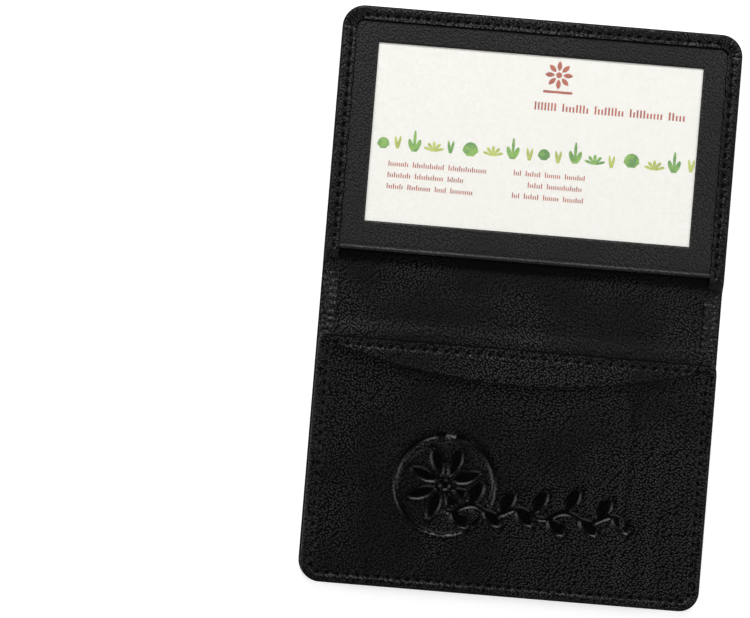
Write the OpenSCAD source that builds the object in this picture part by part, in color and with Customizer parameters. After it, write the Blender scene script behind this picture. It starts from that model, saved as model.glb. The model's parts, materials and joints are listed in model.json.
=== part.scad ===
// Folding business card case in black leather, lying open and flat on its back half.
// X runs across the case, +Y from the pocket half towards the flap, +Z up.
// The origin is the centre of the back half's underside.
// Each half is drawn in its own terms: x across, v away from its fold line, z up from its outer face.

/* [Case] */
// Width of the case
case_w = 108; // [102:1:116]
// Height of the back half, from its first fold line to its free edge
back_h = 71; // [68:1:78]
// Height of the flap, from its last fold line to its free edge
flap_h = 71; // [69:1:79]
// Radius of the outer corners
corner_r = 6; // [4:0.5:8]

/* [Spine] */
// Length of each spine strip between two fold lines
strip_l = 4.55; // [4.3:0.05:5.5]
// Gap between two neighbouring pieces at a fold line
fold_gap = 0.1; // [0.06:0.02:0.2]

/* [Leather] */
// Thickness of the cover leather
cover_t = 1; // [0.9:0.05:1.1]
// Width of the cover's turned hem
hem_w = 3.9; // [3.6:0.1:4.4]
// Thickness of the turned hem round the back half
hem_t = 1; // [0.9:0.05:1.1]
// Thickness of the lining over the fold
lining_t = 0.5; // [0.4:0.05:0.6]

/* [Pocket] */
// Distance from the first fold line to the pocket's mouth
mouth_v = 4.2; // [4:0.2:6]
// Height between the hem and the pocket, held open by the gusset
pocket_open = 5.9; // [5:0.1:5.9]
// Distance that the pocket's edge stands back from the cover's edge
pocket_inset = 0.7; // [0.5:0.1:1]
// Thickness of the pocket's fabric lining
pocket_lining_t = 0.2; // [0.15:0.05:0.25]
// Thickness of the pocket wall
pocket_wall_t = 0.6; // [0.5:0.05:0.6]
// Thickness of the curved slip pocket panel
slip_t = 0.65; // [0.55:0.05:0.65]
// Depth of the slip pocket's curved top below the pocket's mouth, at its middle
slip_sag = 9.3; // [6:0.1:12]
// Depth of the room for cards under the slip pocket panel
slip_room = 0.25; // [0.15:0.05:0.3]
// Thickness of the gusset leather
gusset_t = 0.35; // [0.3:0.05:0.4]
// Width of the gusset's sewn flanges
gusset_flange = 3; // [2.8:0.1:3.4]
// Depth of the gusset's inward fold, measured from its flanges
gusset_depth = 4; // [3:0.5:4.5]

/* [Flap] */
// Thickness of the flap's foam pad
foam_t = 1; // [0.6:0.1:1]
// Thickness of the stiffening boards
board_t = 0.5; // [0.4:0.05:0.5]
// Thickness of the lining behind the card
flap_lining_t = 0.3; // [0.2:0.05:0.3]
// Height of the card's room behind the window
card_room = 0.45; // [0.4:0.05:0.45]
// Thickness of the clear film
film_t = 0.2; // [0.15:0.05:0.2]
// Thickness of the window panel
panel_t = 0.55; // [0.45:0.05:0.55]
// Distance from the last fold line to the window panel's open edge
panel_v = 5.4; // [5.2:0.2:7]
// Width of the window
window_w = 87.5; // [84:0.5:88]
// Height of the window
window_h = 48; // [46:0.5:50]
// Distance from the last fold line to the window
window_v = 13.3; // [13:0.1:15]

/* [Card] */
// Width of the display card
card_w = 88.9; // [85:0.1:90]
// Height of the display card
card_h = 50.8; // [48:0.1:54]
// Thickness of the display card
card_t = 0.35; // [0.25:0.05:0.35]

/* [Stitching] */
// Distance from a panel's edge to its row of stitches
stitch_inset = 2.6; // [2.2:0.1:3]
// Length from one stitch to the next
stitch_pitch = 2.7; // [2.5:0.1:3.2]
// Length of the thread that shows in each stitch
stitch_l = 1.8; // [1.4:0.1:2]
// Thickness of the thread
thread_w = 0.4; // [0.3:0.05:0.5]

/* [Hidden] */
$fn = 64;
half_w = case_w / 2;
fold_t = cover_t + lining_t;
skin_gap = 0.05;
min_r = 0.6;
spine_l = 3 * strip_l;
back_fold_y = back_h / 2;
flap_fold_y = back_fold_y + spine_l;

// Back half: heights of its layers
board_v = 4;
board_z = cover_t;
back_lining_z = board_z + board_t;
back_lining_t = 0.4;
hem_top = cover_t + hem_t;
hem_step_v = 2.8;

// Pocket: heights of its layers
pocket_lining_z = hem_top + pocket_open;
pocket_wall_z = pocket_lining_z + pocket_lining_t;
slip_z = pocket_wall_z + pocket_wall_t;
pocket_top = slip_z + slip_t;
slip_seam = 3.4;
slip_end_v = mouth_v + 0.6;
mouth_thread_v = mouth_v + 2.2;
lining_play = 0.3;

// Flap: heights of its layers, and the wall and lip of its turned hem
foam_z = cover_t;
foam_inset = 6;
flap_board_z = foam_z + foam_t;
flap_lining_z = flap_board_z + board_t;
card_room_z = flap_lining_z + flap_lining_t;
film_z = card_room_z + card_room;
panel_z = film_z + film_t;
panel_top = panel_z + panel_t;
flap_wall_w = 1.2;
lip_t = 0.7;
lip_z = panel_top - lip_t;
film_edge = 3;
seam_band = 1;
card_v = window_v - (card_h - window_h) / 2;
card_z = card_room_z + (card_room - card_t) / 2;

// Stitches lie in a shallow channel
channel_w = 0.7;
channel_d = 0.15;
thread_t = 0.12;
spine_stitch_v = 5;

// ---- places ----

// Children drawn with v as y land on the back half, whose free edge points to -Y
module on_back() translate([0, back_fold_y, 0]) mirror([0, 1, 0]) children();

// Children land on the flap, whose free edge points to +Y
module on_flap() translate([0, flap_fold_y, 0]) children();

// Children land on spine strip i, counted from 1 at the back half
module on_strip(i) translate([0, back_fold_y + (i - 1) * strip_l, 0]) children();

// ---- shared outlines and layers ----

// A half's outline: square at v = start, rounded at its two free corners, all of it inset from the edge
module half_outline(h, inset, start) {
    r = max(corner_r - inset, min_r);
    x = half_w - inset;
    top = h - inset;
    translate([-x, start]) square([2 * x, top - r - start]);
    translate([-(x - r), start]) square([2 * (x - r), top - start]);
    for (side = [-1, 1]) translate([side * (x - r), top - r]) circle(r = r);
}

module half_layer(h, inset, start, z, t)
    translate([0, 0, z]) linear_extrude(t) half_outline(h, inset, start);

// The turned hem: a U-shaped band along the two sides and the free edge
module hem_band(h, inset, w, start, z, t)
    translate([0, 0, z]) linear_extrude(t) difference() {
        half_outline(h, inset, start);
        half_outline(h, inset + w, start - 1);
    }

// ---- stitches ----

// Length of the U-shaped stitch path, and the place and heading of its point at length s
function path_length(x, side, r) = 2 * side + PI * r + 2 * (x - r);
function path_point(s, x, side, r, start) =
    let (arc = PI * r / 2, across = 2 * (x - r), top = start + side)
    s < side ? [-x, start + s, 90]
    : s < side + arc ?
        let (a = 180 - 90 * (s - side) / arc) [-(x - r) + r * cos(a), top + r * sin(a), a - 90]
    : s < side + arc + across ? [-(x - r) + s - side - arc, top + r, 0]
    : s < side + 2 * arc + across ?
        let (a = 90 - 90 * (s - side - arc - across) / arc)
            [x - r + r * cos(a), top + r * sin(a), a - 90]
    : [x, top - (s - side - 2 * arc - across), -90];

module thread(z) translate([-stitch_l / 2, -thread_w / 2, z]) cube([stitch_l, thread_w, thread_t]);

// Stitches along a half's sides and free edge, from v = start, with their underside at z
module stitch_row(h, inset, start, z) {
    r = max(corner_r - inset, min_r);
    x = half_w - inset;
    side = h - inset - r - start;
    total = path_length(x, side, r);
    count = floor(total / stitch_pitch);
    for (i = [0:count - 1]) {
        p = path_point((i + 0.5) * total / count, x, side, r, start);
        translate([p[0], p[1], 0]) rotate([0, 0, p[2]]) thread(z);
    }
}

module stitch_channel(h, inset, start, z)
    hem_band(h, inset - channel_w / 2, channel_w, start, z, channel_d);

// ---- back half ----

module cover_leather_back() color([0.05, 0.05, 0.05]) on_back() difference() {
    union() {
        half_layer(back_h, 0, fold_gap / 2, 0, cover_t);
        hem_band(back_h, 0, hem_w, fold_gap / 2, cover_t, lining_t);
        hem_band(back_h, 0, hem_w, hem_step_v, cover_t + lining_t, hem_t - lining_t);
    }
    stitch_channel(back_h, stitch_inset, spine_stitch_v, 0);
}

module back_board() color([0.45, 0.42, 0.36]) on_back()
    half_layer(back_h, hem_w, board_v, board_z, board_t);

module back_lining() color([0.07, 0.07, 0.07]) on_back() {
    half_layer(back_h, hem_w, board_v, back_lining_z, back_lining_t);
    translate([-(half_w - hem_w), fold_gap / 2, cover_t])
        cube([case_w - 2 * hem_w, board_v - fold_gap / 2, lining_t]);
    translate([-(half_w - hem_w), hem_step_v, back_lining_z])
        cube([case_w - 2 * hem_w, board_v - hem_step_v, back_lining_t]);
}

module back_stitching() color([0.02, 0.02, 0.02]) on_back()
    stitch_row(back_h, stitch_inset, spine_stitch_v + stitch_pitch / 4, channel_d - thread_t);

// ---- gusset: a leather strip folded inwards, in three runs that meet in mitres ----

// Cross-section: s runs inwards from the pocket's edge, z up
module gusset_profile() {
    low = hem_top;
    high = pocket_lining_z;
    mid = (low + high) / 2;
    flange = gusset_flange;
    valley = gusset_flange + gusset_depth;
    t = gusset_t;
    polygon([
        [0, low], [flange, low], [valley, mid], [flange, high], [0, high],
        [0, high - t], [flange - t / 2, high - t], [valley - 1.6 * t, mid],
        [flange - t / 2, low + t], [0, low + t]
    ]);
}

// The plan area of one side's run (side = -1 or 1), or of the bottom run (side = 0)
module gusset_plan(side) {
    x = half_w - pocket_inset;
    v_end = back_h - pocket_inset;
    reach = 20;
    if (side == 0)
        polygon([[-x, v_end], [x, v_end], [x - reach, v_end - reach], [-(x - reach), v_end - reach]]);
    else
        polygon([
            [side * x, v_end], [side * x, mouth_v],
            [side * (x - reach), mouth_v], [side * (x - reach), v_end - reach]
        ]);
}

module gusset_run(side) on_back() intersection() {
    half_layer(back_h, pocket_inset, mouth_v, 0, pocket_top);
    linear_extrude(pocket_top) gusset_plan(side);
    if (side == 0)
        translate([-half_w, back_h - pocket_inset, 0]) rotate([90, 0, 90])
            linear_extrude(case_w) mirror([1, 0]) gusset_profile();
    else
        translate([side * (half_w - pocket_inset), back_h, 0]) rotate([90, 0, 0])
            linear_extrude(back_h) mirror([side == 1 ? 1 : 0, 0]) gusset_profile();
}

module gusset_left() color([0.04, 0.04, 0.04]) gusset_run(-1);
module gusset_bottom() color([0.05, 0.05, 0.05]) gusset_run(0);
module gusset_right() color([0.04, 0.04, 0.04]) gusset_run(1);

// ---- pocket front, which the gusset lets down towards the back ----

// The lining stops short of the gusset's flanges and is held by the turned mouth
module pocket_lining() color([0.1, 0.1, 0.1]) on_back()
    half_layer(back_h, pocket_inset, mouth_v + lining_play, pocket_lining_z, pocket_lining_t);

module pocket_wall() color([0.06, 0.06, 0.06]) on_back() difference() {
    half_layer(back_h, pocket_inset, mouth_v, pocket_wall_z, pocket_wall_t);
    translate([-half_w, mouth_thread_v - channel_w / 2, slip_z - channel_d])
        cube([case_w, channel_w, 2 * channel_d]);
}

// The slip pocket's curved top: a circle that starts near both ends of the mouth
module slip_curve() {
    sag = mouth_v + slip_sag - slip_end_v;
    radius = (half_w * half_w + sag * sag) / (2 * sag);
    translate([0, slip_end_v + sag - radius]) circle(r = radius, $fn = 128);
}

module slip_pocket_panel() color([0.06, 0.06, 0.06]) on_back() difference() {
    half_layer(back_h, pocket_inset, slip_end_v, slip_z, slip_t);
    translate([0, 0, slip_z - 1]) linear_extrude(slip_t + 2) slip_curve();
    half_layer(back_h, pocket_inset + slip_seam, 0, slip_z - 1, 1 + slip_room);
    stitch_channel(back_h, pocket_inset + stitch_inset, 0, pocket_top - channel_d);
}

module pocket_stitching() color([0.02, 0.02, 0.02]) on_back()
    stitch_row(back_h, pocket_inset + stitch_inset, slip_end_v + stitch_pitch, pocket_top - channel_d);

module mouth_stitching() color([0.02, 0.02, 0.02]) on_back() {
    reach = half_w - pocket_inset - stitch_inset;
    count = floor(2 * reach / stitch_pitch);
    for (i = [0:count - 1])
        translate([-reach + (i + 0.5) * 2 * reach / count, mouth_thread_v, 0])
            thread(slip_z - channel_d);
}

// ---- spine ----

module cover_strip(i) color([0.05, 0.05, 0.05]) on_strip(i) {
    l = strip_l - fold_gap;
    translate([-half_w, fold_gap / 2, 0]) cube([case_w, l, cover_t]);
    for (x = [-half_w, half_w - hem_w])
        translate([x, fold_gap / 2, cover_t]) cube([hem_w, l, lining_t]);
}

module lining_strip(i) color([0.07, 0.07, 0.07]) on_strip(i)
    translate([-(half_w - hem_w), fold_gap / 2, cover_t])
        cube([case_w - 2 * hem_w, strip_l - fold_gap, lining_t]);

module cover_leather_spine_1() cover_strip(1);
module cover_leather_spine_2() cover_strip(2);
module cover_leather_spine_3() cover_strip(3);
module spine_lining_1() lining_strip(1);
module spine_lining_2() lining_strip(2);
module spine_lining_3() lining_strip(3);

// ---- flap ----

module cover_leather_flap() color([0.05, 0.05, 0.05]) on_flap() difference() {
    union() {
        half_layer(flap_h, 0, fold_gap / 2, 0, cover_t);
        hem_band(flap_h, 0, hem_w, fold_gap / 2, cover_t, lining_t);
        hem_band(flap_h, 0, flap_wall_w, hem_step_v, fold_t, panel_top - fold_t);
        hem_band(flap_h, 0, hem_w, panel_v, lip_z, lip_t);
    }
    half_layer(flap_h, flap_wall_w, hem_step_v, cover_t, lining_t);
    stitch_channel(flap_h, stitch_inset, spine_stitch_v, 0);
    stitch_channel(flap_h, stitch_inset, panel_v - 1, panel_top - channel_d);
}

module flap_foam_pad() color([0.25, 0.25, 0.25]) on_flap()
    half_layer(flap_h, foam_inset, board_v + 1, foam_z, foam_t);

module flap_board() color([0.45, 0.42, 0.36]) on_flap()
    half_layer(flap_h, flap_wall_w, board_v, flap_board_z, board_t);

module flap_lining() color([0.07, 0.07, 0.07]) on_flap() {
    half_layer(flap_h, flap_wall_w, hem_step_v, flap_lining_z, flap_lining_t);
    translate([-(half_w - flap_wall_w), hem_step_v, cover_t])
        cube([case_w - 2 * flap_wall_w, board_v - hem_step_v - skin_gap, flap_lining_z - cover_t]);
    translate([-(half_w - hem_w), fold_gap / 2, cover_t])
        cube([case_w - 2 * hem_w, hem_step_v - fold_gap / 2, lining_t]);
}

module window_outline() translate([-window_w / 2, window_v]) square([window_w, window_h]);

module window_film() color([0.85, 0.9, 0.95, 0.3]) on_flap()
    translate([-window_w / 2 - film_edge, window_v - film_edge, film_z])
        cube([window_w + 2 * film_edge, window_h + 2 * film_edge, film_t]);

// The panel is sewn under the hem along three edges, with a thicker seam band there
module window_panel() color([0.06, 0.06, 0.06]) on_flap() difference() {
    union() {
        half_layer(flap_h, hem_w, panel_v, panel_z, panel_t);
        hem_band(flap_h, flap_wall_w, hem_w - flap_wall_w + seam_band, panel_v, card_room_z,
            lip_z - card_room_z);
        hem_band(flap_h, hem_w, seam_band, panel_v, card_room_z, panel_z - card_room_z);
    }
    translate([0, 0, panel_z - 1]) linear_extrude(panel_t + 2) window_outline();
}

module flap_stitching() color([0.02, 0.02, 0.02]) on_flap() {
    stitch_row(flap_h, stitch_inset, spine_stitch_v + stitch_pitch / 4, channel_d - thread_t);
    stitch_row(flap_h, stitch_inset, panel_v, panel_top - channel_d);
}

// ---- card ----

module display_card() color([0.95, 0.93, 0.87]) on_flap()
    translate([-card_w / 2, card_v, card_z]) cube([card_w, card_h, card_t]);

cover_leather_back();
back_board();
back_lining();
back_stitching();
gusset_left();
gusset_bottom();
gusset_right();
pocket_lining();
pocket_wall();
slip_pocket_panel();
pocket_stitching();
mouth_stitching();
cover_leather_spine_1();
cover_leather_spine_2();
cover_leather_spine_3();
spine_lining_1();
spine_lining_2();
spine_lining_3();
cover_leather_flap();
flap_foam_pad();
flap_board();
flap_lining();
window_film();
window_panel();
flap_stitching();
display_card();
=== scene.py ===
import json
import math
import bpy
import numpy as np
from mathutils import Matrix, Vector


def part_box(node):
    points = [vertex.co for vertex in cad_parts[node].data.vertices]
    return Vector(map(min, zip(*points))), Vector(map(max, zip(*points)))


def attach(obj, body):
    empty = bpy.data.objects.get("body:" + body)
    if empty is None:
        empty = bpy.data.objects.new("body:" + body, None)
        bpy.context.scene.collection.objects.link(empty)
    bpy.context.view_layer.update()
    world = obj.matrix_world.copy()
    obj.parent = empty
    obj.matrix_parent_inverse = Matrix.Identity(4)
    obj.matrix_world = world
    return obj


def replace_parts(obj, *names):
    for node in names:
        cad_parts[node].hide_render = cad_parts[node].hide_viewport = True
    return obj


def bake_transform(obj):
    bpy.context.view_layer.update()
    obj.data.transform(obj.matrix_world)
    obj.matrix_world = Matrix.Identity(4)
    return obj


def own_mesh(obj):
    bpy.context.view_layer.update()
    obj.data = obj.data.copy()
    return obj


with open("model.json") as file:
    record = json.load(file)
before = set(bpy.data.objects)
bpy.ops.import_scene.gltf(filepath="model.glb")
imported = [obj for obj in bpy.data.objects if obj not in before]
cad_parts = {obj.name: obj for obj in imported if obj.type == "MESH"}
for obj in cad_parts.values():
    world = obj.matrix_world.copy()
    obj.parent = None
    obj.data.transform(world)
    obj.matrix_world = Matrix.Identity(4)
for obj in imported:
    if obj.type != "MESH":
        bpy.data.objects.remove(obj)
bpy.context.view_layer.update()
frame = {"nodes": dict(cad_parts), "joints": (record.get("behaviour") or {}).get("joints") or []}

# A leather business card case, open and flat on its back half: the pocket half towards -Y, the
# window flap towards +Y. Shapes are worked out in millimetres, and mesh_piece() turns them to metres.
MM = 0.001


def span(node):
    """Lowest and highest corner of a CAD node, in millimetres."""
    low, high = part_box(node)
    return np.array(low) / MM, np.array(high) / MM


# ---------------------------------------------------------------- sizes from the frame
FOLD_JOINTS = ["spine_fold_1", "spine_fold_2", "spine_fold_3", "cover_fold"]
joint_places = {j["name"]: np.array(j["pos_m"]) / MM for j in frame["joints"] if "pos_m" in j}
FOLDS = [joint_places[name][1] for name in FOLD_JOINTS]
STRIP = FOLDS[1] - FOLDS[0]
BACK_FOLD, FLAP_FOLD = FOLDS[0], FOLDS[-1]
CUTS = [y - STRIP / 2 for y in FOLDS] + [FLAP_FOLD + STRIP / 2]

COVER_LOW, COVER_HIGH = span("cover_leather_back")[0], span("cover_leather_flap")[1]
HALF_W = COVER_HIGH[0]
BACK_H, FLAP_H = BACK_FOLD - COVER_LOW[1], COVER_HIGH[1] - FLAP_FOLD
CORNER = 6.0            # corner radius of the cover
STITCH_INSET = 2.6      # stitch rows from the edge that they follow
STITCH_PITCH = 2.7      # about how far apart a row's holes are
THREAD_R = 0.21
THREAD_DIP = 0.42       # how far a thread's ends go down into its holes
CHANNEL = 0.24          # depth of the groove that a stitch row lies in
BACK_CHANNEL = 0.22     # and on the back's outer face
HEM_CHANNEL = 0.2       # and on the flap's hem

HEM_W = 3.9             # the turned hem on the two halves
SPINE_HEM_W = 4.7       # and beside the spine
BACK_HEM_Z = span("cover_leather_back")[1][2]
SPINE_HEM_Z = 1.9
FLAP_HEM_Z = span("cover_leather_flap")[1][2] + 0.1
CROWN = 0.85            # how far the padded flap's outer face falls away at its edge
BACK_FALL = 0.35        # and the back's

POCKET_LOW, POCKET_HIGH = span("pocket_wall")
SLIP_LOW, SLIP_HIGH = span("slip_pocket_panel")
GUSSET_LOW_Z, GUSSET_HIGH_Z = span("gusset_bottom")[0][2], span("gusset_bottom")[1][2]
SLIP_SAG = 8.7          # depth of the slip pocket's curved mouth

PANEL_LOW = span("window_panel")[0]
FILM_LOW, FILM_HIGH = span("window_film")
CARD_LOW, CARD_HIGH = span("display_card")
PANEL_TOP = FILM_HIGH[2] + 0.2
WINDOW_W, WINDOW_H = 87.5, 48.0
WINDOW_UP = 13.3        # the window's opening from the last fold
WINDOW = (-WINDOW_W / 2, FLAP_FOLD + WINDOW_UP, WINDOW_W / 2, FLAP_FOLD + WINDOW_UP + WINDOW_H)


# ---------------------------------------------------------------- small numeric helpers
def ramp(value, start, end):
    """0 before start, 1 after end, smooth between."""
    t = np.clip((value - start) / (end - start), 0, 1)
    return t * t * (3 - 2 * t)


def bell(value, centre, width):
    return np.exp(-((value - centre) / width) ** 2)


def flat_at(height):
    """The height function of a level face."""
    return lambda x, y: 0 * x + height


def along(y, back, spine, flap):
    """A value for each part of the case, changing smoothly beside the first and the last fold."""
    to_spine = ramp(y, BACK_FOLD - 3.5, BACK_FOLD - 0.3)
    to_flap = ramp(y, FLAP_FOLD + 0.8, FLAP_FOLD + 5)
    return back + (spine - back) * to_spine + (flap - spine) * to_flap


def waves(x, y, length, seed):
    """Soft irregular swell from -1 to 1, about length between its crests."""
    total = 0
    for k in range(5):
        turn, phase = 2.4 * k + seed, 1.7 * k * k + 3.1 * seed
        share = 2 * math.pi / length * (0.7 + 0.17 * k)
        total = total + np.sin((x * math.cos(turn) + y * math.sin(turn)) * share + phase)
    return total / 5


def inset_from(x, y, low, high, radius):
    """Distance inwards from the edge of a rectangle with round corners."""
    across = np.minimum(x - low[0], high[0] - x)
    up = np.minimum(y - low[1], high[1] - y)
    round_part = radius - np.hypot(radius - across, radius - up)
    return np.where((across < radius) & (up < radius), round_part, np.minimum(across, up))


def steps(start, end, coarse, fine=(), places=()):
    """Grid lines from start to end that pass through places. They are at most coarse apart, or closer
    where one of fine's (from, to, step) says so."""
    marks = {start, end, *places, *[m for low, high, _ in fine for m in (low, high)]}
    marks = sorted(m for m in marks if start <= m <= end)
    lines = [start]
    for a, b in zip(marks, marks[1:]):
        step = min([s for low, high, s in fine if low <= (a + b) / 2 <= high] + [coarse])
        lines += list(np.linspace(a, b, max(1, math.ceil((b - a) / step - 1e-6)) + 1)[1:])
    return lines


# ---------------------------------------------------------------- sheets with a banded edge
class Sheet:
    """A sheet in X and Y with rounded corners: a grid, and round it a band of rows that follow the edge.

    corner is the inset of the corner arcs' centres, and band the inset where the grid ends. The grid's
    lines are at most pitch apart, or closer as fine_x and fine_y say, and pass through places in Y.
    column(x, y) is how far apart the band's columns are. power is 2 for round corners and more for
    squarer ones, from the low left one round to the left.
    """

    def __init__(self, low, high, corner, band, pitch, column, fine_x=(), fine_y=(), places=(),
                 power=(2, 2, 2, 2), arc_steps=4):
        self.corner, self.band, self.power = corner, band, power
        xs = steps(low[0] + corner, high[0] - corner, pitch[0], fine_x)
        ys = steps(low[1] + corner, high[1] - corner, pitch[1], fine_y, places)
        reach = np.linspace(corner - band, 0, arc_steps + 1)[:-1]
        gx = np.array([*(xs[0] - reach), *xs, *(xs[-1] + reach[::-1])])
        gy = np.array([*(ys[0] - reach), *ys, *(ys[-1] + reach[::-1])])
        self.nx, self.ny = len(gx), len(gy)
        x, y = (a.ravel() for a in np.meshgrid(gx, gy, indexing="ij"))
        cx, cy = np.clip(x, xs[0], xs[-1]), np.clip(y, ys[0], ys[-1])
        px, py = x - cx, y - cy
        length = np.hypot(px, py)
        unit = np.stack([px, py], 1) / np.maximum(length, 1e-9)[:, None]
        far = np.maximum(abs(px), abs(py)) * self.stretch(unit)
        self.flat = np.stack([cx, cy], 1) + unit * far[:, None]
        centre = np.stack([cx, cy], 1)
        self.make_columns(centre, unit, column)

    def stretch(self, unit):
        """How much further than on a circle the edge is, in each direction."""
        low_left, low_right, high_right, high_left = self.power
        right, top = unit[:, 0] > 0, unit[:, 1] > 0
        n = np.where(top, np.where(right, high_right, high_left), np.where(right, low_right, low_left))
        size = abs(unit[:, 0]) ** n + abs(unit[:, 1]) ** n
        return np.where(size > 0, np.maximum(size, 1e-9) ** (-1 / n), 0)

    def make_columns(self, centre, unit, column):
        """The band's columns: one at each grid node round the edge, and narrower ones between."""
        nx, ny = self.nx, self.ny
        ring = [i * ny for i in range(nx)] + [(nx - 1) * ny + j for j in range(1, ny)]
        ring += [i * ny + ny - 1 for i in range(nx - 2, -1, -1)] + list(range(ny - 2, 0, -1))
        centres, units, ids, self.between = [], [], [], {}
        made = nx * ny
        for a, b in zip(ring, ring[1:] + ring[:1]):
            turn = math.atan2(unit[a][0] * unit[b][1] - unit[a][1] * unit[b][0], unit[a] @ unit[b])
            far = float(np.hypot(*(centre[b] - centre[a]))) + abs(turn) * (self.corner - STITCH_INSET)
            parts = max(1, round(far / column(*self.flat[a])))
            ids.append(a)
            centres.append(centre[a])
            units.append(unit[a])
            start = math.atan2(unit[a][1], unit[a][0])
            for k in range(1, parts):
                t = k / parts
                ids.append(made)
                self.between.setdefault((a, b), []).append(made)
                made += 1
                centres.append(centre[a] + (centre[b] - centre[a]) * t)
                units.append([math.cos(start + turn * t), math.sin(start + turn * t)])
        self.first_row = ids
        self.centres, units = np.array(centres), np.array(units)
        self.reach = units * self.stretch(units)[:, None]
        fresh = [k for k, i in enumerate(ids) if i >= nx * ny]
        self.flat = np.concatenate([self.flat, self.row(self.band)[fresh]])

    def row(self, inset):
        inset = inset(self.centres[:, 1]) if callable(inset) else inset * np.ones(len(self.centres))
        return self.centres + self.reach * (self.corner - inset)[:, None]

    def build(self, height, rows, warp=None, skip=None):
        """Points and faces, seen from above. rows go outwards from the grid: an inset and a height each."""
        flat = self.flat
        points = [np.column_stack([flat, height(*self.warped(flat, warp).T)])]
        points[0][:, :2] = self.warped(flat, warp)
        faces = self.cells(points[0], skip)
        below, count = self.first_row, len(flat)
        columns = len(self.first_row)
        for inset, lift in rows:
            xy = self.warped(self.row(inset), warp)
            points.append(np.column_stack([xy, lift(*xy.T)]))
            above = list(range(count, count + columns))
            count += columns
            for k in range(columns):
                n = (k + 1) % columns
                faces.append((above[k], above[n], below[n], below[k]))
            below = above
        return np.concatenate(points), faces

    def warped(self, xy, warp):
        return xy if warp is None else np.column_stack([xy[:, 0], warp(xy[:, 0], xy[:, 1])])

    def cells(self, points, skip):
        faces = []
        for i in range(self.nx - 1):
            for j in range(self.ny - 1):
                a = i * self.ny + j
                around = (a, a + self.ny, a + self.ny + 1, a + 1)
                if skip is not None and skip(*points[list(around), :2].mean(0)):
                    continue
                face = []
                for p, q in zip(around, around[1:] + around[:1]):
                    face += [p, *self.between.get((p, q), ())]
                faces.append(tuple(face))
        return faces


def rim(depth, lower, upper, count=7, squareness=0.75):
    """Rows that carry a sheet round its edge, from the lower to the upper surface."""
    rows = []
    for angle in np.linspace(-math.pi / 2, math.pi / 2, count + 2)[1:-1]:
        inset = depth * (1 - math.cos(angle) ** squareness)
        share = 0.5 + 0.5 * abs(math.sin(angle)) ** squareness * math.copysign(1, angle)
        rows.append((inset, lambda x, y, s=share: lower(x, y) * (1 - s) + upper(x, y) * s))
    return rows


def flip(faces):
    return [tuple(reversed(face)) for face in faces]


def free_edges(faces):
    edges = {(a, b) for face in faces for a, b in zip(face, face[1:] + face[:1])}
    return sorted(e for e in edges if (e[1], e[0]) not in edges)


def thicken(points, faces, lower):
    """Closes an open surface into a solid. lower is its thickness, or a function for its underside."""
    under = points.copy()
    under[:, 2] = lower(points[:, 0], points[:, 1]) if callable(lower) else points[:, 2] - lower
    n = len(points)
    walls = [(a, a + n, b + n, b) for a, b in free_edges(faces)]
    below = [tuple(i + n for i in reversed(face)) for face in faces]
    return np.concatenate([points, under]), faces + below + walls


def compact(points, faces):
    """The points that the faces use, and the faces with those points' new numbers."""
    used = sorted({i for face in faces for i in face})
    number = {old: new for new, old in enumerate(used)}
    return points[used], [tuple(number[i] for i in face) for face in faces]


def split_at_cuts(points, faces):
    """One (points, faces) for each stretch of the case between CUTS, from the back half to the flap."""
    parts = [[] for _ in range(len(CUTS) + 1)]
    heights = points[:, 1].tolist()
    for face in faces:
        middle = sum(heights[i] for i in face) / len(face)
        parts[int(np.searchsorted(CUTS, middle))].append(face)
    return [compact(points, part) for part in parts]


# ---------------------------------------------------------------- pieces
def mesh_piece(name, points, faces, finish, slot, smooth=50, pressed_and_shade=None, dark=None):
    """A mesh in metres. Its rest attribute keeps each point's place in millimetres for the material.

    The pressed mark says where the grain is smoothed and darkened: by tooling, and as painted shade below
    the window panel's edge and under the slip pocket's mouth. dark says where faces take the near-black
    finish: painted shade in stitch holes, creases, rims and gaps, and black dye on cut edges. Both are
    functions of x, y and z, from 0 to 1."""
    mesh = bpy.data.meshes.new(name)
    mesh.from_pydata((points * MM).tolist(), [], faces)
    mesh.polygons.foreach_set("use_smooth", [True] * len(mesh.polygons))
    mesh.set_sharp_from_angle(angle=math.radians(smooth))
    rest = mesh.attributes.new("rest", "FLOAT_VECTOR", "POINT")
    rest.data.foreach_set("vector", points.astype(np.float32).ravel())
    if pressed_and_shade is not None:
        smoothed = mesh.attributes.new("pressed_and_shade", "FLOAT", "POINT")
        smoothed.data.foreach_set("value", pressed_and_shade(*points.T).astype(np.float32))
    mesh.materials.append(finish)
    if dark is not None:
        mesh.materials.append(black_edge_and_shade)
        middles = np.array([points[list(face)].mean(0) for face in faces])
        mesh.polygons.foreach_set("material_index", (dark(*middles.T) > 0.5).astype(np.int32))
    obj = bpy.data.objects.new(name, mesh)
    bpy.context.scene.collection.objects.link(obj)
    return obj


def fold_pieces(name, points, faces, finish, slot, thickness=None, **marks):
    """Splits a sheet that crosses the folds: the halves ride, and each stretch over a fold becomes a piece
    of its own.
    """
    made = []
    for k, (part, part_faces) in enumerate(split_at_cuts(points, faces)):
        if thickness:
            part, part_faces = thicken(part, part_faces, thickness)
        label = f"{name}_{['back', 'fold_1', 'fold_2', 'fold_3', 'fold_4', 'flap'][k]}"
        obj = mesh_piece(label, part, part_faces, finish, slot, **marks)
        if k in (0, len(CUTS)):
            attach(obj, "back" if k == 0 else "flap")
        else:
            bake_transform(obj)
        made.append(obj)
    return made


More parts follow.
